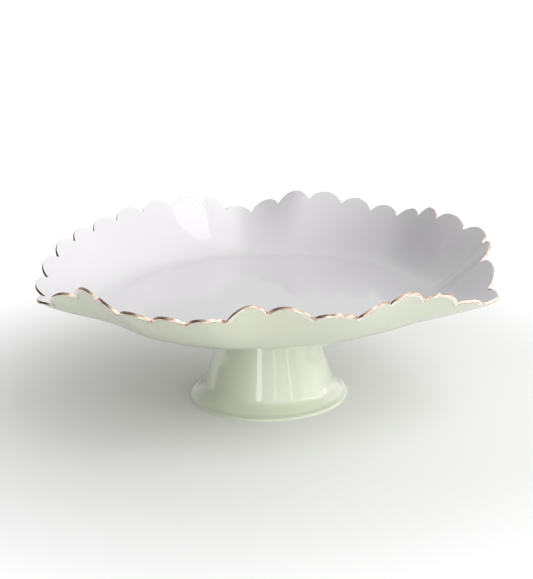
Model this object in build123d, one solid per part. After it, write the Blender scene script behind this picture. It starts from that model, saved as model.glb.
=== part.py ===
from build123d import *
from math import atan2, cos, pi, radians, sin, sqrt, tan
import os

# Scalloped cake stand. Origin: centre of the foot on the table, +Z up.
# Lengths in mm. Bearings in degrees from +X towards +Y.

# Dish: flat floor, then a wall whose lean and length swell and sink round the rim.
FLOOR_RADIUS = 108.0
FLOOR_HEIGHT = 73.0
SHEET_THICKNESS = 1.6
LINING_THICKNESS = 0.4
WALL_THICKNESS = SHEET_THICKNESS + LINING_THICKNESS
LINING_SHARE = LINING_THICKNESS / WALL_THICKNESS
RIM_EXTRA_LEAN = 11.0
FLOOR_HANDLE = 0.30
RIM_HANDLE = 0.26

# One row per swell or dip of the hand-formed wall: bearing, lean, wall length and the sheet's
# stretch along the rim there, in percent.
RUFFLES = (
    (0, 38, 56, 111),
    (24, 53, 50, 115),
    (46, 40, 49, 92),
    (77, 46, 54, 102),
    (97, 29, 53, 84),
    (110, 45, 53, 89),
    (128, 43, 55, 100),
    (158, 39, 51, 101),
    (197, 15, 48, 105),
    (218, 41, 44, 99),
    (236, 32, 48, 98),
    (256, 31, 53, 91),
    (268, 42, 50, 99),
    (289, 32, 51, 104),
    (304, 40, 47, 99),
    (335, 14, 53, 102),
    (350, 35, 50, 107),
)

# Scallops: cut at equal widths, then stretched or gathered with the sheet.
SCALLOP_COUNT = 36
SCALLOP_DEPTH = 8.5
FIRST_NOTCH_BEARING = 192.0
RIM_SAMPLES = 720
BEAD_WIDTH = 1.0

# Stud, gasket and clamp below the dish floor.
FLOOR_UNDERSIDE = FLOOR_HEIGHT - WALL_THICKNESS
GASKET_THICKNESS = 2.0
GASKET_RADIUS = 25.0
GASKET_BORE_RADIUS = 13.0
FLANGE_RADIUS = 12.0
STUD_RADIUS = 4.0
STUD_END_HEIGHT = 51.0
STUD_END_CHAMFER = 0.8
HOLE_RADIUS = 4.5
CLAMP_WASHER_RADIUS = 15.0
CLAMP_WASHER_THICKNESS = 2.0
SPRING_WASHER_RADIUS = 7.4
SPRING_WASHER_THICKNESS = 2.2
SPRING_GAP = 1.2
NUT_ACROSS_FLATS = 13.0
NUT_THICKNESS = 6.5
NUT_CHAMFER = 0.7

# Pedestal: outside line of the spun shell, as corners (radius, height) and their rounds.
PEDESTAL_TOP = FLOOR_UNDERSIDE - GASKET_THICKNESS
PEDESTAL_THICKNESS = 1.6
FOOT_RADIUS = 57.0
OUTLINE_CORNERS = (
    (HOLE_RADIUS, PEDESTAL_TOP),
    (30.4, PEDESTAL_TOP),
    (40.4, 29.5),
    (47.4, 8.6),
    (53.4, 3.0),
    (FOOT_RADIUS, 1.4),
    (FOOT_RADIUS, 0.0),
)
OUTLINE_ROUNDS = (2.4, 90.0, 14.0, 5.0, 2.0)


def ruffle(bearing):
    """Lean in degrees, wall length in mm and stretch in percent at a bearing, eased between rows."""
    bearing = bearing % 360
    first = RUFFLES[0]
    rows = RUFFLES + ((first[0] + 360,) + first[1:],)
    for low, high in zip(rows, rows[1:]):
        if low[0] <= bearing < high[0]:
            share = (bearing - low[0]) / (high[0] - low[0])
            ease = (1 - cos(pi * share)) / 2
            return tuple(low[column] + (high[column] - low[column]) * ease for column in (1, 2, 3))
    raise ValueError("bearing outside the ruffle rows")


def wall_section(bearing, layer):
    """Four control points (radius, height) of the wall; layer 0 inside, 1 outside."""
    lean, length, _ = ruffle(bearing)
    lean = radians(lean)
    rim_lean = lean + radians(RIM_EXTRA_LEAN)
    depth = layer * WALL_THICKNESS
    handle_gain = 1 + depth * rim_lean / length
    floor_handle = FLOOR_HANDLE * length * handle_gain
    rim_handle = RIM_HANDLE * length * handle_gain
    low_radius = FLOOR_RADIUS
    low_height = FLOOR_HEIGHT - depth
    top_radius = FLOOR_RADIUS + length * cos(lean) + depth * sin(rim_lean)
    top_height = FLOOR_HEIGHT + length * sin(lean) - depth * cos(rim_lean)
    return (
        (low_radius, low_height),
        (low_radius + floor_handle, low_height),
        (top_radius - rim_handle * cos(rim_lean), top_height - rim_handle * sin(rim_lean)),
        (top_radius, top_height),
    )


def turned(radius, height, bearing):
    """Point at a radius and height, turned to a bearing."""
    angle = radians(bearing)
    return Vector(radius * cos(angle), radius * sin(angle), height)


def wall_point(bearing, row, layer):
    """Control point of one row of the wall."""
    radius, height = wall_section(bearing, layer)[row]
    return turned(radius, height, bearing)


def rim_point(bearing, reach, layer):
    """Point on the wall's edge line, moved on along the wall by reach."""
    radius, height = wall_section(bearing, layer)[3]
    rim_lean = radians(ruffle(bearing)[0] + RIM_EXTRA_LEAN)
    return turned(radius + reach * cos(rim_lean), height + reach * sin(rim_lean), bearing)


def edge_lengths():
    """Running length of the notch line before stretching, at evenly spaced bearings."""
    step = 360 / RIM_SAMPLES
    points = [rim_point(step * index, 0, 0) for index in range(RIM_SAMPLES + 1)]
    lengths = [0.0]
    for index in range(RIM_SAMPLES):
        stretch = ruffle(step * (index + 0.5))[2] / 100
        lengths.append(lengths[-1] + (points[index + 1] - points[index]).length / stretch)
    return lengths


def bearing_at(length, lengths):
    """Bearing at which the notch line has run a given length."""
    length = length % lengths[-1]
    step = 360 / RIM_SAMPLES
    for index in range(RIM_SAMPLES):
        if lengths[index + 1] >= length:
            span = lengths[index + 1] - lengths[index]
            return step * (index + (length - lengths[index]) / span)
    return 360.0


def scallop_bearings():
    """Start and end bearing of every scallop, and the common scallop width."""
    lengths = edge_lengths()
    width = lengths[-1] / SCALLOP_COUNT
    place = FIRST_NOTCH_BEARING * RIM_SAMPLES / 360
    start = lengths[int(place)]
    notches = [bearing_at(start + width * index, lengths) for index in range(SCALLOP_COUNT)]
    spans = []
    for index, low in enumerate(notches):
        high = notches[(index + 1) % SCALLOP_COUNT]
        spans.append((low, high if high > low else high + 360))
    return spans, width


def scallop_shape(width, growth):
    """Foot reach, handle share and handle lift of a scallop arc grown outwards."""
    radius = (width**2 / 4 + SCALLOP_DEPTH**2) / (2 * SCALLOP_DEPTH)
    centre = SCALLOP_DEPTH - radius
    grown = radius + growth
    foot = centre + sqrt(grown**2 - width**2 / 4)
    half_angle = atan2(width / 2, foot - centre)
    handle = grown * tan(half_angle / 2) * 4 / 3
    return foot, handle * cos(half_angle) / width, handle * sin(half_angle)


def through(points, middle):
    """Four control points with the inner two shifted so that the curve passes a middle point."""
    ends = points[0] + points[3]
    inner = points[1] + points[2]
    shift = (middle - (ends + inner * 3) / 8) * (4 / 3)
    return [points[0], points[1] + shift, points[2] + shift, points[3]]


def scallop_row(span, width, growth, layer):
    """Four control points of one scallop's edge."""
    low, high = span
    foot, share, lift = scallop_shape(width, growth)
    inset = (high - low) * share
    points = [
        rim_point(low, foot, layer),
        rim_point(low + inset, foot + lift, layer),
        rim_point(high - inset, foot + lift, layer),
        rim_point(high, foot, layer),
    ]
    tip = rim_point((low + high) / 2, SCALLOP_DEPTH + growth, layer)
    return through(points, tip)


def wall_row(span, row, layer):
    """Four control points of a smooth ring row across one scallop."""
    low, high = span
    nudge = 0.5
    ends = [wall_point(low, row, layer), wall_point(high, row, layer)]
    slopes = []
    for bearing in span:
        rise = wall_point(bearing + nudge, row, layer) - wall_point(bearing - nudge, row, layer)
        slopes.append(rise * ((high - low) / (6 * nudge)))
    points = [ends[0], ends[0] + slopes[0], ends[1] - slopes[1], ends[1]]
    return through(points, wall_point((low + high) / 2, row, layer))


def wall_patch(span, width, layer):
    """One scallop's share of a wall surface."""
    rows = [wall_row(span, row, layer) for row in range(3)]
    rows.append(scallop_row(span, width, -BEAD_WIDTH, layer))
    return Face.make_bezier_surface(rows)


def edge_patch(span, width, inner_layer, outer_layer):
    """One scallop's share of the sheared edge under the bead."""
    inner = scallop_row(span, width, -BEAD_WIDTH, inner_layer)
    outer = scallop_row(span, width, -BEAD_WIDTH, outer_layer)
    return Face.make_bezier_surface([inner, outer])


def floor_disc(spans, layer):
    """Flat floor bounded by the foot of the wall."""
    edges = [Edge.make_bezier(*wall_row(span, 0, layer)) for span in spans]
    return Face(Wire(edges))


def layer_solid(inner_layer, outer_layer):
    """Closed dish-shaped skin between two layers of the wall."""
    spans, width = scallop_bearings()
    faces = [floor_disc(spans, inner_layer), floor_disc(spans, outer_layer)]
    for span in spans:
        faces.append(wall_patch(span, width, inner_layer))
        faces.append(wall_patch(span, width, outer_layer))
        faces.append(edge_patch(span, width, inner_layer, outer_layer))
    return Solid(Shell(faces))


def dish_body():
    """Pressed sheet steel dish with its green outer enamel."""
    return layer_solid(LINING_SHARE, 1)


def dish_lining():
    """Pale enamel coat over the inside of the dish."""
    return layer_solid(0, LINING_SHARE)


def bead_patch(span, width):
    """One scallop's share of the rounded nose of the bead."""
    nose = BEAD_WIDTH / 3
    rows = [
        scallop_row(span, width, -BEAD_WIDTH, 0),
        scallop_row(span, width, nose, 0),
        scallop_row(span, width, nose, 1),
        scallop_row(span, width, -BEAD_WIDTH, 1),
    ]
    return Face.make_bezier_surface(rows)


def gilt_rim():
    """Gilded bead fused round the scalloped edge."""
    spans, width = scallop_bearings()
    faces = []
    for span in spans:
        faces.append(bead_patch(span, width))
        faces.append(edge_patch(span, width, 0, 1))
    return Solid(Shell(faces))


def ring(outer_radius, inner_radius, bottom, top):
    """Flat ring between two heights."""
    height = top - bottom
    blank = Cylinder(outer_radius, height, align=(Align.CENTER, Align.CENTER, Align.MIN))
    bore = Cylinder(inner_radius, height, align=(Align.CENTER, Align.CENTER, Align.MIN))
    return Pos(0, 0, bottom) * (blank - bore)


def seat_gasket():
    """Soft ring that seats the dish on the pedestal."""
    return ring(GASKET_RADIUS, GASKET_BORE_RADIUS, PEDESTAL_TOP, FLOOR_UNDERSIDE)


def stud_flange():
    """Disc welded under the dish floor to carry the stud."""
    height = FLOOR_UNDERSIDE - PEDESTAL_TOP
    disc = Cylinder(FLANGE_RADIUS, height, align=(Align.CENTER, Align.CENTER, Align.MIN))
    return Pos(0, 0, PEDESTAL_TOP) * disc


def threaded_stud():
    """Stud that hangs from the flange through the top of the pedestal."""
    height = PEDESTAL_TOP - STUD_END_HEIGHT
    bar = Cylinder(STUD_RADIUS, height, align=(Align.CENTER, Align.CENTER, Align.MIN))
    bar = Pos(0, 0, STUD_END_HEIGHT) * bar
    return chamfer(bar.edges().group_by(Axis.Z)[0], STUD_END_CHAMFER)


def pedestal_shell():
    """Spun pedestal: closed top, hollow cone, flared foot with a turned-down lip."""
    outline = FilletPolyline(*OUTLINE_CORNERS, radius=OUTLINE_ROUNDS)
    section = outline.offset_2d(PEDESTAL_THICKNESS, side=Side.RIGHT)
    profile = Plane.XZ * Face(section)
    return revolve(profile, Axis.Z)


def clamp_washer():
    """Wide washer under the top of the pedestal."""
    top = PEDESTAL_TOP - PEDESTAL_THICKNESS
    return ring(CLAMP_WASHER_RADIUS, HOLE_RADIUS, top - CLAMP_WASHER_THICKNESS, top)


def spring_washer():
    """Split ring between the wide washer and the nut."""
    top = PEDESTAL_TOP - PEDESTAL_THICKNESS - CLAMP_WASHER_THICKNESS
    body = ring(SPRING_WASHER_RADIUS, HOLE_RADIUS, top - SPRING_WASHER_THICKNESS, top)
    middle = Pos(SPRING_WASHER_RADIUS, 0, top - SPRING_WASHER_THICKNESS / 2)
    return body - middle * Box(SPRING_WASHER_RADIUS, SPRING_GAP, 2 * SPRING_WASHER_THICKNESS)


def hex_nut():
    """Nut that clamps the pedestal to the dish."""
    top = PEDESTAL_TOP - PEDESTAL_THICKNESS - CLAMP_WASHER_THICKNESS - SPRING_WASHER_THICKNESS
    hexagon = RegularPolygon(NUT_ACROSS_FLATS / 2, 6, major_radius=False)
    block = extrude(hexagon, NUT_THICKNESS)
    corner = NUT_ACROSS_FLATS / 2 / cos(radians(30))
    rounded = Cylinder(corner, NUT_THICKNESS, align=(Align.CENTER, Align.CENTER, Align.MIN))
    rounded = chamfer(rounded.edges().filter_by(GeomType.CIRCLE), NUT_CHAMFER)
    bore = Cylinder(STUD_RADIUS, NUT_THICKNESS, align=(Align.CENTER, Align.CENTER, Align.MIN))
    return Pos(0, 0, top - NUT_THICKNESS) * (block & rounded - bore)


NODES = {
    "dish_body": dish_body,
    "dish_lining": dish_lining,
    "gilt_rim": gilt_rim,
    "seat_gasket": seat_gasket,
    "stud_flange": stud_flange,
    "threaded_stud": threaded_stud,
    "pedestal_shell": pedestal_shell,
    "clamp_washer": clamp_washer,
    "spring_washer": spring_washer,
    "hex_nut": hex_nut,
}

os.makedirs("parts", exist_ok=True)
for name, maker in NODES.items():
    export_step(maker(), "parts/" + name + ".step")
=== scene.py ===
import math

import bpy
import numpy as np
from mathutils import Matrix, Vector


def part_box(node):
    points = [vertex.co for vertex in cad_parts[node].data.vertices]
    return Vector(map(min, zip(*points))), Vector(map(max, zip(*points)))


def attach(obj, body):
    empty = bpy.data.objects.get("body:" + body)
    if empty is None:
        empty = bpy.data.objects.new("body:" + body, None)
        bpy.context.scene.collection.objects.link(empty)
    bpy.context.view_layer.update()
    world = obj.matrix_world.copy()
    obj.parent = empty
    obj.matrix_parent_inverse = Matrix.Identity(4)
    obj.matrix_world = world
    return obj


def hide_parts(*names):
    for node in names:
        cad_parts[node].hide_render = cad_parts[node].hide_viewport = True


# Looks of the scalloped cake stand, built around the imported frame. Metres, +Z up.
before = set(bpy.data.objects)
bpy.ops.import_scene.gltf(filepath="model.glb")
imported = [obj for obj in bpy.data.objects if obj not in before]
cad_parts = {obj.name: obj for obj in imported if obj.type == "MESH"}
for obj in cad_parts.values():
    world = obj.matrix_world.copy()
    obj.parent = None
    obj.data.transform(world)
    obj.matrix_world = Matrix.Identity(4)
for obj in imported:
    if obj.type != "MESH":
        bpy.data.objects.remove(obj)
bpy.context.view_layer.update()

MM = 0.001
DEGREE = math.pi / 180

# ---------------------------------------------------------------- sizes of the dish
# Wall of the dish, as in the CAD part: a bent section whose lean and length change round the rim.
# Its bend is a cubic curve, whose handles are shares of the wall's length.
FLOOR_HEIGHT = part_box("dish_lining")[0].z + 0.4 * MM
FLOOR_RADIUS = 108 * MM
SHEET = 2.0 * MM
LINING = 0.4 * MM
RIM_EXTRA_LEAN = 11 * DEGREE
FLOOR_HANDLE = 0.30
RIM_HANDLE = 0.26

# One row per swell or dip of the hand-formed wall: bearing, lean in degrees, wall length in mm and
# the sheet's stretch along the rim there, in percent.
RUFFLES = (
    (0, 38, 56, 111),
    (24, 53, 50, 115),
    (46, 40, 49, 92),
    (77, 46, 54, 102),
    (97, 29, 53, 84),
    (110, 45, 53, 89),
    (128, 43, 55, 100),
    (158, 39, 51, 101),
    (197, 15, 48, 105),
    (218, 41, 44, 99),
    (236, 32, 48, 98),
    (256, 31, 53, 91),
    (268, 42, 50, 99),
    (289, 32, 51, 104),
    (304, 40, 47, 99),
    (335, 14, 53, 102),
    (350, 35, 50, 107),
)

SCALLOP_COUNT = 36
SCALLOP_DEPTH = 7.9 * MM
NOTCH_ROUND = 0.55 * MM
FIRST_NOTCH_BEARING = 192
RIM_SAMPLES = 1440

# Rings of the dish's floor as shares of its radius, and those where every second point is left out.
FLOOR_SHARES = (0.96, 0.9, 0.83, 0.75, 0.66, 0.56, 0.46, 0.36, 0.26, 0.17, 0.08)
FLOOR_HALVINGS = (0.9, 0.75, 0.56, 0.26)

# Mesh density.
ARC_STEPS = 22
NOTCH_STEPS = 6
WALL_ROWS = 44
PEDESTAL_STEPS = 256
FASTENER_STEPS = 128
THREAD_STEPS = 72
THREAD_ROWS = 150
NUT_STEPS = 144
SPRING_STEPS = 96

# Gilding over the sheared edge: it starts at the lip of the pale lining and laps on the outside.
EDGE_SETBACK = 0.5 * MM
# Rounded lip of the lining as (setback, layer) rows, from its inside face outwards.
LINING_LIP = (
    (0.30 * MM, 0),
    (0.17 * MM, 0.02),
    (0.11 * MM, 0.08),
    (0.09 * MM, 0.15),
    (0.11 * MM, 0.21),
)
NOSE_DEPTH = 0.7 * MM
NOSE_STEPS = 6
GILT_PROUD = 0.07 * MM
LAP_OUTSIDE = 1.6 * MM
LAP_WANDER = 0.45 * MM
# Share across the gilding at each ring of its section: 0 at the lip, 1 where the brush left off. It
# places the gilding's painted shade and painted highlight.
GILT_SHADE_HIGHLIGHT_SHARES = (0.0, 0.0, 0.06, 0.12, 0.20, 0.28, 0.36, 0.44, 0.85, 1.0, 1.0, 0.0)

# Slow dents of the hand-formed sheet, and the share of them that is gone at the rim.
DENT_HEIGHT = 0.16 * MM
RIM_CALM = 0.8
# Thicker enamel pooled where the floor turns up into the wall, on the inside only.
POOL_HEIGHT = 0.9 * MM
POOL_WIDTH = 12 * MM
# Drawing folds in the tight bends of the wall: bearing, half width in degrees, height.
FOLDS = (
    (352, 1.1, 0.30 * MM),
    (359, 0.9, 0.36 * MM),
    (5, 1.3, 0.50 * MM),
    (11, 1.0, -0.34 * MM),
    (16, 1.2, 0.44 * MM),
    (27, 1.6, 0.24 * MM),
    (93, 1.6, 0.12 * MM),
    (99, 1.3, -0.12 * MM),
    (188, 1.6, 0.14 * MM),
    (199, 1.4, -0.14 * MM),
    (330, 1.5, 0.14 * MM),
    (339, 1.5, -0.12 * MM),
)

# Pedestal: corners of its outside between the closed top and the foot's lip as (radius, height)
# rows, the roundings of all its corners, its sheet and the longest stretch between its points.
PEDESTAL_BORE = 4.5 * MM
PEDESTAL_CORNERS = (
    (40.4 * MM, 29.5 * MM),
    (47.4 * MM, 8.6 * MM),
    (53.4 * MM, 3.0 * MM),
)
SHOULDER_RADIUS = 30.4 * MM
LIP_HEIGHT = 1.4 * MM
PEDESTAL_ROUNDS = (2.4 * MM, 90 * MM, 14 * MM, 5 * MM, 2 * MM)
PEDESTAL_SHEET = 1.6 * MM
PEDESTAL_STRETCH = 1.2 * MM

# Fastening.
GASKET_BORE = 13 * MM
GASKET_ROUND = 0.6 * MM
WASHER_BORE = 4.5 * MM
WASHER_ROUND = 0.35 * MM
SPRING_ROUND = 0.25 * MM
SPRING_GAP = 5 * DEGREE
SPRING_SLANT = 4 * DEGREE
FLANGE_ROUNDS = (0.5 * MM, 0.3 * MM)
THREAD_PITCH = 1.25 * MM
THREAD_DEPTH = 0.3 * THREAD_PITCH
STUD_CHAMFER = 0.8 * MM
NUT_BORE = 4.0 * MM
NUT_COUNTERSINK = 0.5 * MM
NUT_FACE_SHARE = 0.96
NUT_CHAMFER = 30 * DEGREE

# Colours of the enamels, the plated steel and the rubber.
GREEN_DEEP = (0.564, 0.594, 0.470)
GREEN_PALE = (0.586, 0.616, 0.490)
LILAC_DEEP = (0.582, 0.570, 0.584)
LILAC_PALE = (0.600, 0.588, 0.600)
ZINC_BLUE = (0.46, 0.48, 0.50)
ZINC_PALE = (0.68, 0.68, 0.64)
RUBBER_DARK = (0.20, 0.20, 0.19)
RUBBER_GREY = (0.30, 0.30, 0.28)

# Colours of the gilding: brown and rose are its own tones, umber is a painted shade and cream a
# painted highlight.
GILT_BROWN = (0.68, 0.51, 0.41)
GILT_SHADE_UMBER = (0.42, 0.30, 0.23)
GILT_ROSE = (0.86, 0.71, 0.60)
GILT_HIGHLIGHT_CREAM = (0.98, 0.94, 0.88)
# Where each colour lies across the gilding, from the lip to where the brush left off, and how far
# noise moves the colours across it. The umber paints shade over the nose and the cream paints a
# highlight over the lap.
GILT_TONE_SHADE_HIGHLIGHT_STOPS = (
    (0.02, GILT_BROWN),
    (0.12, GILT_SHADE_UMBER),
    (0.20, GILT_SHADE_UMBER),
    (0.29, GILT_ROSE),
    (0.38, GILT_HIGHLIGHT_CREAM),
)
GILT_UNEVEN = 1.2
GILT_SHIFT = -0.58

# ---------------------------------------------------------------- camera and light
CAMERA_PLACE = (0.0, -0.8817, 0.3358)
CAMERA_PITCH = 16.31
CAMERA_ROLL = -1.41
CAMERA_LENS = 80.4
CAMERA_SENSOR = 36.0

# Floor that the stand stands on. Its glow starts and is full at these distances from the axis.
FLOOR_WIDTH = 18.0
PAPER_DEEP = (0.75, 0.75, 0.75)
PAPER_PALE = (0.77, 0.77, 0.77)
GLOW_STARTS = 0.17
GLOW_FULL = 0.48
GLOW_STRENGTH = 0.40

# Surroundings as (direction, strength, power) rows: each is brightest where it points.
SURROUNDINGS = (
    ((1, 0, 0), 1.00, 1),
    ((0.20, -0.98, 0), 0.80, 1.5),
    ((0.16, -0.86, 0.48), 1.15, 4),
    ((0.10, 0.995, 0), 0.80, 1.1),
    ((0, 0, 1), 0.47, 2),
)

# Place that the lights stand round and face.
LIGHT_CENTRE = (0, 0, 0.06)

# Lights as (name, bearing right of the camera, rise, distance, size, brightness) rows.
LIGHTS = (
    ("key_window", 46, 53, 1.7, (0.58, 0.74), 2.0),
    ("top_right", 115, 68, 1.8, (1.5, 1.2), 0.25),
    ("panel_right", 86, 12, 1.9, (1.75, 0.75), 1.12),
    ("strip_left", -18, 11, 2.0, (0.34, 0.70), 4.0),
    ("strip_middle", 12, 11, 2.0, (0.10, 0.70), 2.0),
    ("strip_right", 40, 12, 2.0, (0.08, 0.70), 3.5),
    ("window_sill", 83, 28, 2.0, (1.6, 0.13), 7.0),
    ("window_side", 113, 11, 2.0, (0.20, 0.60), 3.0),
)


# ================================================================ wall of the dish
def ruffle(bearing):
    """Lean in radians, length in metres and stretch share of the wall at an array of bearings."""
    rows = np.array(RUFFLES + ((RUFFLES[0][0] + 360,) + RUFFLES[0][1:],), float)
    turned = np.mod(bearing, 360)
    low = np.clip(np.searchsorted(rows[:, 0], turned, side="right") - 1, 0, len(rows) - 2)
    share = (turned - rows[low, 0]) / (rows[low + 1, 0] - rows[low, 0])
    ease = (1 - np.cos(math.pi * share)) / 2
    eased = rows[low, 1:].T + (rows[low + 1, 1:] - rows[low, 1:]).T * ease
    return eased[0] * DEGREE, eased[1] * MM, eased[2] / 100


def dents(x, y):
    """Height of slow dents at places seen from above, between about -1 and 1."""
    waves = np.sin(95 * x + 41 * y + 0.7) + np.sin(-52 * x + 88 * y + 2.1)
    waves = waves + 0.7 * np.sin(150 * x - 97 * y + 4.0) + 0.7 * np.sin(128 * x + 143 * y + 1.3)
    return waves / 3.4


def pool(radius, layer):
    """Height of the enamel pooled round the foot of the wall."""
    return POOL_HEIGHT * (1 - layer) * np.exp(-(((radius - FLOOR_RADIUS) / POOL_WIDTH) ** 2))


def folds(bearing, share):
    """Height of the drawing folds at a bearing, fading out towards the floor and the rim."""
    height = 0
    for place, width, size in FOLDS:
        apart = np.mod(bearing - place + 180, 360) - 180
        height = height + size * np.exp(-((apart / width) ** 2))
    return height * np.sin(math.pi * np.clip(share, 0, 1)) ** 1.5


def wall_section(lean, length, layer):
    """Radii and heights of the four control points of the wall's bent section."""
    rim_lean = lean + RIM_EXTRA_LEAN
    depth = layer * SHEET
    gain = 1 + depth * rim_lean / length
    rim_handle = RIM_HANDLE * length * gain
    top_radius = FLOOR_RADIUS + length * np.cos(lean) + depth * np.sin(rim_lean)
    top_height = FLOOR_HEIGHT + length * np.sin(lean) - depth * np.cos(rim_lean)
    radii = [
        FLOOR_RADIUS,
        FLOOR_RADIUS + FLOOR_HANDLE * length * gain,
        top_radius - rim_handle * np.cos(rim_lean),
        top_radius,
    ]
    heights = [
        FLOOR_HEIGHT - depth,
        FLOOR_HEIGHT - depth,
        top_height - rim_handle * np.sin(rim_lean),
        top_height,
    ]
    return radii, heights


def wall_place(bearing, run, layer):
    """Points of the wall, straight on past the notch line and pushed off by dents, folds and pool.
    Run is the distance from the notch line, negative towards the floor. Layer 0 is the inside
    face and layer 1 the outside face."""
    bearing, run = np.broadcast_arrays(np.asarray(bearing, float), np.asarray(run, float))
    lean, length, _ = ruffle(bearing)
    rim_lean = lean + RIM_EXTRA_LEAN
    radii, heights = wall_section(lean, length, layer)
    t = np.clip(1 + run / length, 0, 1)
    weights = [(1 - t) ** 3, 3 * t * (1 - t) ** 2, 3 * t**2 * (1 - t), t**3]
    radius = sum(w * r for w, r in zip(weights, radii))
    height = sum(w * h for w, h in zip(weights, heights))
    reach = np.maximum(run, 0)
    radius = radius + reach * np.cos(rim_lean)
    height = height + reach * np.sin(rim_lean)
    angle = bearing * DEGREE
    x, y = radius * np.cos(angle), radius * np.sin(angle)
    slope = rim_lean * t**0.7
    dented = DENT_HEIGHT * dents(x, y) * (1 - RIM_CALM * t**4)
    push = dented + folds(bearing, t) + pool(radius, layer)
    radius = radius - push * np.sin(slope)
    height = height + push * np.cos(slope)
    return np.stack([radius * np.cos(angle), radius * np.sin(angle), height], -1)


def notch_bearings():
    """Bearings of the notches, equal distances apart before stretching, and that distance."""
    bearing = np.linspace(0, 360, RIM_SAMPLES + 1)
    lean, length, _ = ruffle(bearing)
    stretch = ruffle((bearing[1:] + bearing[:-1]) / 2)[2]
    radius = FLOOR_RADIUS + length * np.cos(lean)
    height = FLOOR_HEIGHT + length * np.sin(lean)
    angle = bearing * DEGREE
    line = np.stack([radius * np.cos(angle), radius * np.sin(angle), height], -1)
    steps = np.linalg.norm(np.diff(line, axis=0), axis=1) / stretch
    run = np.concatenate([[0], np.cumsum(steps)])
    width = run[-1] / SCALLOP_COUNT
    start = np.interp(FIRST_NOTCH_BEARING, bearing, run)
    places = start + width * np.arange(SCALLOP_COUNT + 1)
    turns = np.floor(places / run[-1])
    return np.interp(places - turns * run[-1], run, bearing) + 360 * turns, width


NOTCHES, SCALLOP_WIDTH = notch_bearings()


def rim_path():
    """One scallop and its notch as (along, reach, outward along, outward reach, even along)."""
    arc_radius = (SCALLOP_WIDTH**2 / 4 + SCALLOP_DEPTH**2) / (2 * SCALLOP_DEPTH)
    centre = SCALLOP_DEPTH - arc_radius
    notch_height = centre + math.sqrt((arc_radius + NOTCH_ROUND) ** 2 - SCALLOP_WIDTH**2 / 4)
    swing = math.atan2(SCALLOP_WIDTH / 2, notch_height - centre)
    rows = []
    for step in range(NOTCH_STEPS):
        turn = swing * (2 * step / NOTCH_STEPS - 1)
        along = NOTCH_ROUND * math.sin(turn)
        reach = notch_height - NOTCH_ROUND * math.cos(turn)
        rows.append((along, reach, -math.sin(turn), math.cos(turn)))
    for step in range(ARC_STEPS):
        turn = swing * (2 * step / ARC_STEPS - 1)
        along = SCALLOP_WIDTH / 2 + arc_radius * math.sin(turn)
        reach = centre + arc_radius * math.cos(turn)
        rows.append((along, reach, math.sin(turn), math.cos(turn)))
    steps = len(rows)
    even = [SCALLOP_WIDTH * (step - NOTCH_STEPS / 2) / steps for step in range(steps)]
    return np.column_stack([np.array(rows), even])


def whole_rim():
    """The path of one scallop repeated round the rim, with scallop numbers added to along."""
    one = rim_path()
    rows = []
    for index in range(SCALLOP_COUNT):
        turned = one.copy()
        turned[:, 0] += index * SCALLOP_WIDTH
        turned[:, 4] += index * SCALLOP_WIDTH
        rows.append(turned)
    return np.concatenate(rows)


RIM = whole_rim()
COLUMNS = len(RIM)


def bearing_of(along):
    """Bearing at a distance along the notch line, linear inside each scallop."""
    turns = np.floor(along / (SCALLOP_WIDTH * SCALLOP_COUNT))
    rest = along - turns * SCALLOP_WIDTH * SCALLOP_COUNT
    return np.interp(rest / SCALLOP_WIDTH, np.arange(SCALLOP_COUNT + 1), NOTCHES) + 360 * turns


def wall_rows(layer, setback=EDGE_SETBACK):
    """Rings of points from the foot of the wall to the sheared edge."""
    edge_along = RIM[:, 0] - setback * RIM[:, 2]
    edge_reach = RIM[:, 1] - setback * RIM[:, 3]
    rows = []
    for index in range(WALL_ROWS + 1):
        share = index / WALL_ROWS
        ease = share * share * (3 - 2 * share)
        bearing = bearing_of(RIM[:, 4] + (edge_along - RIM[:, 4]) * ease)
        length = ruffle(bearing)[1]
        rows.append(wall_place(bearing, -length + (length + edge_reach) * share, layer))
    return rows


# ================================================================ mesh helpers
class Builder:
    """Collects points and faces, then makes one smooth object of them."""

    def __init__(self):
        self.points = []
        self.faces = []

    def ring(self, points):
        """Adds a closed row of points and returns their numbers."""
        first = len(self.points)
        self.points.extend([tuple(p) for p in points])
        return list(range(first, len(self.points)))

    def circle(self, radius, height, angle):
        """Adds a row round the axis. Radius and height are numbers or hold one for each angle."""
        x, y = radius * np.cos(angle), radius * np.sin(angle)
        return self.ring(np.stack([x, y, height + 0 * angle], -1))

    def join(self, low, high, flip=False):
        """Quads between two closed rows of the same length."""
        count = len(low)
        for index in range(count):
            after = (index + 1) % count
            face = (low[index], low[after], high[after], high[index])
            self.faces.append(face[::-1] if flip else face)

    def skin(self, rings, flip=False):
        """Quads between each row of a list and the next."""
        for low, high in zip(rings, rings[1:]):
            self.join(low, high, flip)

    def halve(self, outer, inner, flip=False):
        """Faces between a row and a row of half as many points inside it."""
        count = len(inner)
        for index in range(count):
            after = (index + 1) % count
            left, middle = outer[2 * index], outer[2 * index + 1]
            right = outer[(2 * index + 2) % len(outer)]
            made = [(left, middle, inner[index]), (middle, right, inner[after], inner[index])]
            self.faces.extend([f[::-1] if flip else f for f in made])

    def cap(self, ring, flip=False):
        """Fan that closes a row over its centre."""
        centre = np.mean([self.points[i] for i in ring], axis=0)
        hub = self.ring([centre])[0]
        for index, point in enumerate(ring):
            face = (point, ring[(index + 1) % len(ring)], hub)
            self.faces.append(face[::-1] if flip else face)

    def make(self, name, sharp=40):
        """The finished object, smooth but for edges sharper than the given angle."""
        mesh = bpy.data.meshes.new(name)
        mesh.from_pydata(self.points, [], self.faces)
        mesh.validate()
        piece = bpy.data.objects.new(name, mesh)
        bpy.context.scene.collection.objects.link(piece)
        mesh.shade_smooth()
        mesh.set_sharp_from_angle(angle=sharp * DEGREE)
        return piece


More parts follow.
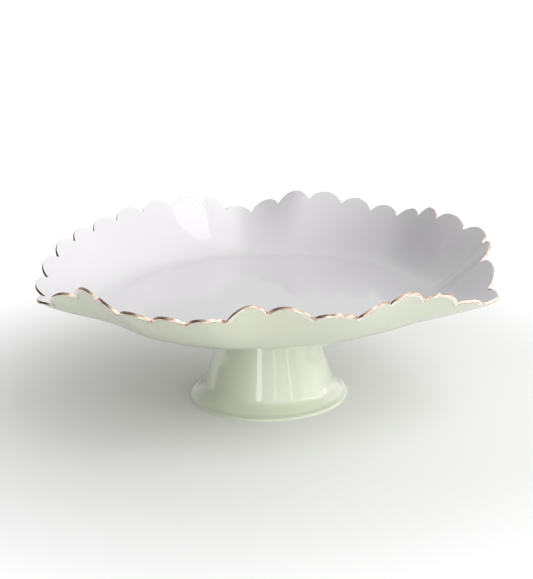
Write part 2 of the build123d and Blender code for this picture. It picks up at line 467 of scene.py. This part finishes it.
def rounded_line(corners, rounds, step=6):
    """Points of a line whose inner corners are rounded by arcs, a point each few degrees."""
    points = [np.array(corners[0], float)]
    for index, radius in enumerate(rounds):
        before, corner, after = [np.array(c, float) for c in corners[index:index + 3]]
        back = (before - corner) / np.linalg.norm(before - corner)
        ahead = (after - corner) / np.linalg.norm(after - corner)
        half = math.acos(np.clip(back @ ahead, -1, 1)) / 2
        centre = corner + (back + ahead) / np.linalg.norm(back + ahead) * radius / math.sin(half)
        first = corner + back * radius / math.tan(half)
        last = corner + ahead * radius / math.tan(half)
        sweep = math.pi - 2 * half
        count = max(2, math.ceil(sweep / (step * DEGREE)))
        for number in range(count + 1):
            share = number / count
            a, b = first - centre, last - centre
            mix = math.sin((1 - share) * sweep) * a + math.sin(share * sweep) * b
            points.append(centre + mix / math.sin(sweep))
    points.append(np.array(corners[-1], float))
    return np.array(points)


def refined(points, longest):
    """The same line with long stretches divided."""
    rows = [points[0]]
    for low, high in zip(points, points[1:]):
        count = max(1, math.ceil(np.linalg.norm(high - low) / longest))
        for number in range(1, count + 1):
            rows.append(low + (high - low) * number / count)
    return np.array(rows)


def full_turn(steps):
    """Angles all the way round, in equal steps."""
    return np.arange(steps) * 2 * math.pi / steps


def lathe(name, profile, steps):
    """Solid of revolution of a closed profile of (radius, height) points."""
    build = Builder()
    angle = full_turn(steps)
    rings = [build.circle(radius, height, angle) for radius, height in profile]
    build.skin(rings + rings[:1])
    return build.make(name)


def ring_profile(inner, outer, bottom, top, rounding):
    """Closed profile of a flat ring with rounded corners, anticlockwise from the bottom bore."""
    middle = (inner + outer) / 2
    corners = [
        (middle, bottom),
        (outer, bottom),
        (outer, top),
        (inner, top),
        (inner, bottom),
        (middle, bottom),
    ]
    return rounded_line(corners, [rounding] * 4, 15)[:-1]


def settle(piece, slot, *nodes):
    """Puts a piece on the stand in place of its CAD nodes."""
    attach(piece, "root")
    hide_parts(*nodes)


# ================================================================ dish
def floor_rings(build, wall_foot, layer, flip):
    """Floor of the dish inside the first ring of the wall, with fewer points towards the centre."""
    ring = wall_foot
    start = bearing_of(RIM[:, 4]) * DEGREE
    for share in FLOOR_SHARES:
        halving = share in FLOOR_HALVINGS
        if halving:
            start = start[::2]
        radius = FLOOR_RADIUS * share
        x, y = radius * np.cos(start), radius * np.sin(start)
        z = FLOOR_HEIGHT - layer * SHEET + DENT_HEIGHT * dents(x, y) + pool(radius, layer)
        inner = build.ring(np.stack([x, y, z], -1))
        if halving:
            build.halve(ring, inner, flip)
        else:
            build.join(inner, ring, not flip)
        ring = inner
    build.cap(ring, flip)


def edge_ring(setback, layer):
    """Ring of points along the scalloped edge, set back into the sheet."""
    bearing = bearing_of(RIM[:, 0] - setback * RIM[:, 2])
    return wall_place(bearing, RIM[:, 1] - setback * RIM[:, 3], layer)


def dish_layer(name, inner_layer, outer_layer, lip=()):
    """Closed skin between two layers of the dish, its edge rounded by (setback, layer) lip rows."""
    build = Builder()
    top = [build.ring(row) for row in wall_rows(inner_layer, lip[0][0] if lip else EDGE_SETBACK)]
    top += [build.ring(edge_ring(setback, layer)) for setback, layer in lip[1:]]
    bottom = [build.ring(row) for row in wall_rows(outer_layer)]
    build.skin(top, flip=True)
    build.skin(bottom)
    build.join(bottom[-1], top[-1])
    floor_rings(build, top[0], inner_layer, flip=False)
    floor_rings(build, bottom[0], outer_layer, flip=True)
    return build.make(name)


def green_skin():
    """Sheet of the dish with its green enamel, under the lining."""
    return dish_layer("dish_green_skin", LINING / SHEET, 1)


def pale_lining():
    """Pale enamel over the whole inside of the dish, with a rounded lip."""
    return dish_layer("dish_pale_lining", 0, LINING / SHEET, LINING_LIP)


def wander():
    """Slow uneven factor between about -1 and 1 at each point along the rim."""
    turn = full_turn(COLUMNS)
    total = 0
    for number, cycles in enumerate((11, 23, 37, 58, 91, 143)):
        total = total + np.sin(cycles * turn + 8.5 + number * 2.3)
    return total / 3.5


def gilt_section(lap):
    """Section of the gilding as (forward, towards the inside) offsets from the edge's middle."""
    half = SHEET / 2 + GILT_PROUD
    level = 0 * lap
    under_lip = SHEET / 2 - 1.1 * LINING
    section = [(level - 0.03 * MM, level + SHEET / 2 - 0.04 * MM)]
    for step in range(NOSE_STEPS):
        turn = step * 90 * DEGREE / NOSE_STEPS
        forward = NOSE_DEPTH * (math.cos(turn) ** 0.7 - 1)
        section.append((level + forward, level - math.sin(turn) ** 0.8 * half))
    section.append((level - NOSE_DEPTH, level - half))
    section.append((-NOSE_DEPTH - 0.7 * lap, level - half))
    section.append((-NOSE_DEPTH - lap, level - half + 0.8 * GILT_PROUD))
    section.append((-NOSE_DEPTH - lap - 0.1 * MM, level - SHEET / 2 + 0.3 * MM))
    section.append((level - NOSE_DEPTH - 0.3 * MM, level + under_lip))
    return section


def gilt_band():
    """Gilding wrapped round the scalloped edge, its lap uneven from the brush."""
    bearing = bearing_of(RIM[:, 0])
    middle = wall_place(bearing, RIM[:, 1], 0.5)
    inside = wall_place(bearing, RIM[:, 1], 0)
    outside = wall_place(bearing, RIM[:, 1], 1)
    up = inside - outside
    up = up / np.linalg.norm(up, axis=1)[:, None]
    along = np.roll(middle, -1, axis=0) - np.roll(middle, 1, axis=0)
    away = np.cross(along, up)
    away = away / np.linalg.norm(away, axis=1)[:, None]
    build = Builder()
    rings = []
    for forward, side in gilt_section(LAP_OUTSIDE + LAP_WANDER * wander()):
        rings.append(build.ring(middle + away * forward[:, None] + up * side[:, None]))
    build.skin(rings + rings[:1], flip=True)
    band = build.make("gilt_band", sharp=60)
    # Share across the section at each ring, which places the gilding's painted shade and painted
    # highlight.
    shares = np.repeat(GILT_SHADE_HIGHLIGHT_SHARES, COLUMNS)
    band.data.attributes.new("gilt_shade_highlight_share", "FLOAT", "POINT").data.foreach_set("value", shares)
    return band


# ================================================================ pedestal and its fastening
def thickened(line, thickness):
    """Closed profile: a line and its copy set off to the right of its direction."""
    ahead = np.gradient(line, axis=0)
    ahead = ahead / np.linalg.norm(ahead, axis=1)[:, None]
    right = np.column_stack([ahead[:, 1], -ahead[:, 0]])
    return np.concatenate([line, (line + right * thickness)[::-1]])


def pedestal():
    """Spun shell: closed top, hollow cone, flared foot with a small turned-down lip."""
    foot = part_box("pedestal_shell")[1].x
    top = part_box("pedestal_shell")[1].z
    corners = [
        (PEDESTAL_BORE, top),
        (SHOULDER_RADIUS, top),
        *PEDESTAL_CORNERS,
        (foot, LIP_HEIGHT),
        (foot, 0),
    ]
    outline = refined(rounded_line(corners, PEDESTAL_ROUNDS, 3), PEDESTAL_STRETCH)
    profile = thickened(outline, PEDESTAL_SHEET)
    return lathe("pedestal_shell_enamelled", profile[::-1], PEDESTAL_STEPS)


def plain_ring(name, node, bore, rounding):
    """Turned ring with softened corners that fills a CAD node's height and width."""
    low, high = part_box(node)
    return lathe(name, ring_profile(bore, high.x, low.z, high.z, rounding), FASTENER_STEPS)


def gasket():
    """Soft ring between the pedestal's top and the dish."""
    return plain_ring("seat_gasket_ring", "seat_gasket", GASKET_BORE, GASKET_ROUND)


def washer():
    """Flat ring that the nut clamps against the inside of the pedestal's top."""
    return plain_ring("clamp_washer_ring", "clamp_washer", WASHER_BORE, WASHER_ROUND)


def flange():
    """Solid disc under the dish with a softened edge."""
    low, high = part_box("stud_flange")
    corners = [(0, low.z), (high.x, low.z), (high.x, high.z), (0, high.z)]
    line = rounded_line(corners, FLANGE_ROUNDS, 15)
    build = Builder()
    angle = full_turn(FASTENER_STEPS)
    rings = [build.circle(radius, height, angle) for radius, height in line[1:-1]]
    build.skin(rings)
    build.cap(rings[0], flip=True)
    build.cap(rings[-1])
    return build.make("stud_flange_disc")


def stud():
    """Stud with a cut screw thread and a chamfered end."""
    low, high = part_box("threaded_stud")
    build = Builder()
    angle = full_turn(THREAD_STEPS)
    rings = []
    for row in range(THREAD_ROWS + 1):
        height = low.z + (high.z - low.z) * row / THREAD_ROWS
        phase = np.mod(height / THREAD_PITCH - angle / (2 * math.pi), 1)
        groove = np.clip(1.25 - 2.5 * np.abs(2 * phase - 1), 0, 1)
        chamfer = max(0.0, STUD_CHAMFER - (height - low.z))
        reach = high.x - np.maximum(THREAD_DEPTH * groove, chamfer)
        rings.append(build.circle(reach, height, angle))
    build.skin(rings)
    build.cap(rings[0], flip=True)
    build.cap(rings[-1])
    return build.make("threaded_stud_cut", sharp=30)


def nut():
    """Hexagon nut with chamfered corners on both faces and a countersunk bore."""
    low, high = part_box("hex_nut")
    across = high.y
    face = across * NUT_FACE_SHARE
    angle = full_turn(NUT_STEPS)
    hexagon = across / np.cos(np.mod(angle, math.pi / 3) - math.pi / 6)
    drop = (hexagon - face) * math.tan(NUT_CHAMFER)
    rows = [
        (NUT_BORE, low.z + NUT_COUNTERSINK),
        (NUT_BORE + NUT_COUNTERSINK, low.z),
        (face, low.z),
        (hexagon, low.z + drop),
        (hexagon, high.z - drop),
        (face, high.z),
        (NUT_BORE + NUT_COUNTERSINK, high.z),
        (NUT_BORE, high.z - NUT_COUNTERSINK),
    ]
    build = Builder()
    rings = [build.circle(radius, height, math.pi / 2 - angle) for radius, height in rows]
    build.skin(rings + rings[:1], flip=True)
    return build.make("hex_nut_chamfered", sharp=25)


def spring_ring():
    """Split spring washer: a square bar bent round, its two ends cut on the slant."""
    low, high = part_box("spring_washer")
    profile = ring_profile(WASHER_BORE, high.y, low.z, high.z, SPRING_ROUND)
    slant = SPRING_SLANT * (profile[:, 1] - low.z) / (high.z - low.z)
    sweep = 2 * math.pi - 2 * SPRING_GAP - SPRING_SLANT
    build = Builder()
    rings = []
    for step in range(SPRING_STEPS + 1):
        angle = SPRING_GAP + slant + sweep * step / SPRING_STEPS
        rings.append(build.circle(profile[:, 0], profile[:, 1], angle))
    build.skin(rings)
    build.cap(rings[0])
    build.cap(rings[-1], flip=True)
    return build.make("spring_washer_split")


# ================================================================ materials
class Nodes:
    """Short way to lay out one material's nodes."""

    def __init__(self, name):
        self.material = bpy.data.materials.new(name)
        self.material.use_nodes = True
        self.tree = self.material.node_tree
        self.shader = self.tree.nodes["Principled BSDF"]
        self.where = self.tree.nodes.new("ShaderNodeTexCoord").outputs["Object"]

    def add(self, kind, **settings):
        """A new node with its properties set."""
        node = self.tree.nodes.new(kind)
        for key, value in settings.items():
            setattr(node, key, value)
        return node

    def link(self, start, end):
        """A link from an output to an input."""
        self.tree.links.new(start, end)

    def set(self, key, value):
        """A fixed value for one input of the shader."""
        self.shader.inputs[key].default_value = value

    def drive(self, key, output):
        """An output that sets one input of the shader."""
        self.link(output, self.shader.inputs[key])

    def noise(self, scale, detail=3.0, roughness=0.5, stretch=(1, 1, 1)):
        """Factor of a noise whose size is in waves per metre."""
        mapping = self.add("ShaderNodeMapping")
        mapping.inputs["Scale"].default_value = stretch
        self.link(self.where, mapping.inputs["Vector"])
        node = self.add("ShaderNodeTexNoise")
        node.inputs["Scale"].default_value = scale
        node.inputs["Detail"].default_value = detail
        node.inputs["Roughness"].default_value = roughness
        self.link(mapping.outputs["Vector"], node.inputs["Vector"])
        return node.outputs["Fac"]

    def ramp(self, factor, stops):
        """Colour ramp over a factor."""
        node = self.add("ShaderNodeValToRGB")
        ramp = node.color_ramp
        while len(ramp.elements) < len(stops):
            ramp.elements.new(0.5)
        for element, (place, colour) in zip(ramp.elements, stops):
            element.position = place
            element.color = (*colour, 1)
        self.link(factor, node.inputs["Fac"])
        return node.outputs["Color"]

    def span(self, factor, low, high):
        """A factor moved to another range."""
        node = self.add("ShaderNodeMapRange")
        node.inputs["To Min"].default_value = low
        node.inputs["To Max"].default_value = high
        self.link(factor, node.inputs["Value"])
        return node.outputs["Result"]

    def bump(self, heights):
        """Chain of bumps from (factor, strength, distance) rows, linked to the normal."""
        before = None
        for factor, strength, distance in heights:
            node = self.add("ShaderNodeBump")
            node.inputs["Strength"].default_value = strength
            node.inputs["Distance"].default_value = distance
            self.link(factor, node.inputs["Height"])
            if before is not None:
                self.link(before, node.inputs["Normal"])
            before = node.outputs["Normal"]
        self.link(before, self.shader.inputs["Normal"])
        return before


def enamel(name, pale, deep):
    """Glossy enamel: slow colour drift, fine orange peel and a slightly uneven glaze."""
    made = Nodes(name)
    drift = made.noise(14, detail=2.0)
    colour = made.ramp(drift, [(0.30, deep), (0.70, pale)])
    made.drive("Base Color", colour)
    haze = made.noise(30, detail=2.0)
    made.drive("Roughness", made.span(haze, 0.33, 0.42))
    made.set("Coat Weight", 1.0)
    made.set("Coat Roughness", 0.06)
    made.set("Coat IOR", 1.5)
    slow = made.noise(22, detail=1.0, roughness=0.4)
    peel = made.noise(300, detail=1.0, roughness=0.4)
    normal = made.bump([(slow, 0.30, 0.0006), (peel, 0.05, 0.00003)])
    made.drive("Coat Normal", normal)
    return made.material


def rose_gilt():
    """Fired rose gold, worn and lumpy: its own brown at the lip, a painted umber shade over the
    nose and a painted cream highlight over the lap, with uneven borders between."""
    made = Nodes("rose_gilt")
    across = made.add("ShaderNodeAttribute", attribute_name="gilt_shade_highlight_share").outputs["Fac"]
    patch = made.noise(150, detail=4.0, roughness=0.6)
    uneven = made.add("ShaderNodeMath", operation="MULTIPLY_ADD")
    made.link(patch, uneven.inputs[0])
    uneven.inputs[1].default_value = GILT_UNEVEN
    uneven.inputs[2].default_value = GILT_SHIFT
    total = made.add("ShaderNodeMath", operation="ADD")
    made.link(across, total.inputs[0])
    made.link(uneven.outputs["Value"], total.inputs[1])
    # The ramp paints an umber shade over the nose and a cream highlight over the lap, on top of the
    # gilding's own brown and rose.
    made.drive("Base Color", made.ramp(total.outputs["Value"], GILT_TONE_SHADE_HIGHLIGHT_STOPS))
    made.set("Metallic", 1.0)
    wear = made.noise(340, roughness=0.6)
    made.drive("Roughness", made.span(wear, 0.10, 0.32))
    lump = made.noise(260, detail=2.0)
    fine = made.noise(1500, detail=2.0)
    made.bump([(lump, 0.35, 0.0003), (fine, 0.12, 0.00005)])
    return made.material


def plated_steel():
    """Bright zinc plate: faint rainbow drift, turned marks and dull spots."""
    made = Nodes("plain_steel")
    drift = made.noise(90)
    colour = made.ramp(drift, [(0.3, ZINC_BLUE), (0.7, ZINC_PALE)])
    made.drive("Base Color", colour)
    made.set("Metallic", 1.0)
    dull = made.noise(420, roughness=0.6)
    made.drive("Roughness", made.span(dull, 0.24, 0.50))
    marks = made.noise(200, stretch=(1, 1, 22))
    made.bump([(marks, 0.25, 0.00008)])
    return made.material


def grey_rubber():
    """Matt grey rubber with dusty bloom and a moulded grain."""
    made = Nodes("gasket_rubber")
    bloom = made.noise(130, detail=4.0, roughness=0.6)
    colour = made.ramp(bloom, [(0.3, RUBBER_DARK), (0.7, RUBBER_GREY)])
    made.drive("Base Color", colour)
    grain = made.noise(2200, detail=2.0)
    made.drive("Roughness", made.span(grain, 0.62, 0.85))
    made.bump([(grain, 0.3, 0.00005)])
    return made.material


def paint(piece, material):
    """Gives a piece its one material."""
    piece.data.materials.clear()
    piece.data.materials.append(material)


# ================================================================ studio
def studio_floor():
    """Pale plain floor, far larger than the view, with a glow that grows away from the foot."""
    build = Builder()
    half = FLOOR_WIDTH / 2
    build.ring([(-half, -half, 0), (half, -half, 0), (half, half, 0), (-half, half, 0)])
    build.faces.append((0, 1, 2, 3))
    floor = build.make("studio_floor")
    made = Nodes("studio_floor_paper")
    tone = made.noise(3, detail=2.0, roughness=0.4)
    colour = made.ramp(tone, [(0.3, PAPER_DEEP), (0.7, PAPER_PALE)])
    made.drive("Base Color", colour)
    made.set("Roughness", 0.9)
    made.set("Specular IOR Level", 0.0)
    made.set("Emission Color", (1, 1, 1, 1))
    reach = made.add("ShaderNodeVectorMath", operation="LENGTH")
    made.link(made.where, reach.inputs[0])
    glow = made.add("ShaderNodeMapRange", interpolation_type="SMOOTHSTEP")
    glow.inputs["From Min"].default_value = GLOW_STARTS
    glow.inputs["From Max"].default_value = GLOW_FULL
    glow.inputs["To Max"].default_value = GLOW_STRENGTH
    made.link(reach.outputs["Value"], glow.inputs["Value"])
    made.drive("Emission Strength", glow.outputs["Result"])
    paint(floor, made.material)


def area_light(name, bearing, rise, distance, size, brightness):
    """Soft light seen from the dish at a bearing right of the camera and a rise, in degrees."""
    data = bpy.data.lights.new(name, "AREA")
    data.shape = "RECTANGLE"
    data.size, data.size_y = size
    data.energy = brightness * math.pi * size[0] * size[1]
    light = bpy.data.objects.new(name, data)
    bpy.context.scene.collection.objects.link(light)
    turn, lift = bearing * DEGREE, rise * DEGREE
    level = math.cos(lift)
    aim = Vector((math.sin(turn) * level, -math.cos(turn) * level, math.sin(lift)))
    light.location = Vector(LIGHT_CENTRE) + aim * distance
    light.rotation_euler = (-aim).to_track_quat("-Z", "Y").to_euler()


def studio_light():
    """Pale surroundings, darker on the left and overhead, and the lights."""
    world = bpy.data.worlds.new("studio_world")
    bpy.context.scene.world = world
    world.use_nodes = True
    tree = world.node_tree
    where = tree.nodes.new("ShaderNodeTexCoord")
    total = None
    for direction, strength, power in SURROUNDINGS:
        facing = tree.nodes.new("ShaderNodeVectorMath")
        facing.operation = "DOT_PRODUCT"
        facing.inputs[1].default_value = direction
        tree.links.new(where.outputs["Generated"], facing.inputs[0])
        values = [facing.outputs["Value"]]
        for operation, number in (("MAXIMUM", 0.0), ("POWER", power), ("MULTIPLY", strength)):
            step = tree.nodes.new("ShaderNodeMath")
            step.operation = operation
            step.inputs[1].default_value = number
            tree.links.new(values[-1], step.inputs[0])
            values.append(step.outputs["Value"])
        if total is None:
            total = values[-1]
            continue
        both = tree.nodes.new("ShaderNodeMath")
        both.operation = "ADD"
        tree.links.new(total, both.inputs[0])
        tree.links.new(values[-1], both.inputs[1])
        total = both.outputs["Value"]
    background = tree.nodes["Background"]
    background.inputs["Color"].default_value = (1, 1, 1, 1)
    tree.links.new(total, background.inputs["Strength"])
    for row in LIGHTS:
        area_light(*row)


def camera():
    """Camera at the photograph's viewing angle."""
    data = bpy.data.cameras.new("photo_camera")
    data.lens = CAMERA_LENS
    data.sensor_width = CAMERA_SENSOR
    data.clip_end = 100
    made = bpy.data.objects.new("photo_camera", data)
    bpy.context.scene.collection.objects.link(made)
    made.location = CAMERA_PLACE
    made.rotation_euler = ((90 - CAMERA_PITCH) * DEGREE, 0, 0)
    bpy.context.view_layer.update()
    roll = Matrix.Rotation(CAMERA_ROLL * DEGREE, 3, "Z")
    made.rotation_euler = (made.rotation_euler.to_matrix() @ roll).to_euler()
    bpy.context.scene.camera = made


# ================================================================ put together
green = enamel("green_enamel", GREEN_PALE, GREEN_DEEP)
lilac = enamel("pale_enamel", LILAC_PALE, LILAC_DEEP)
gilt = rose_gilt()
steel = plated_steel()
rubber = grey_rubber()

pieces = [
    (green_skin(), "green_enamel", green, "dish_body"),
    (pale_lining(), "pale_enamel", lilac, "dish_lining"),
    (gilt_band(), "rose_gilt", gilt, "gilt_rim"),
    (pedestal(), "green_enamel", green, "pedestal_shell"),
    (gasket(), "gasket_rubber", rubber, "seat_gasket"),
    (flange(), "plain_steel", steel, "stud_flange"),
    (stud(), "plain_steel", steel, "threaded_stud"),
    (washer(), "plain_steel", steel, "clamp_washer"),
    (spring_ring(), "plain_steel", steel, "spring_washer"),
    (nut(), "plain_steel", steel, "hex_nut"),
]
for piece, slot, material, node in pieces:
    paint(piece, material)
    settle(piece, slot, node)

studio_floor()
studio_light()
camera()
bpy.context.scene.view_settings.view_transform = "Standard"
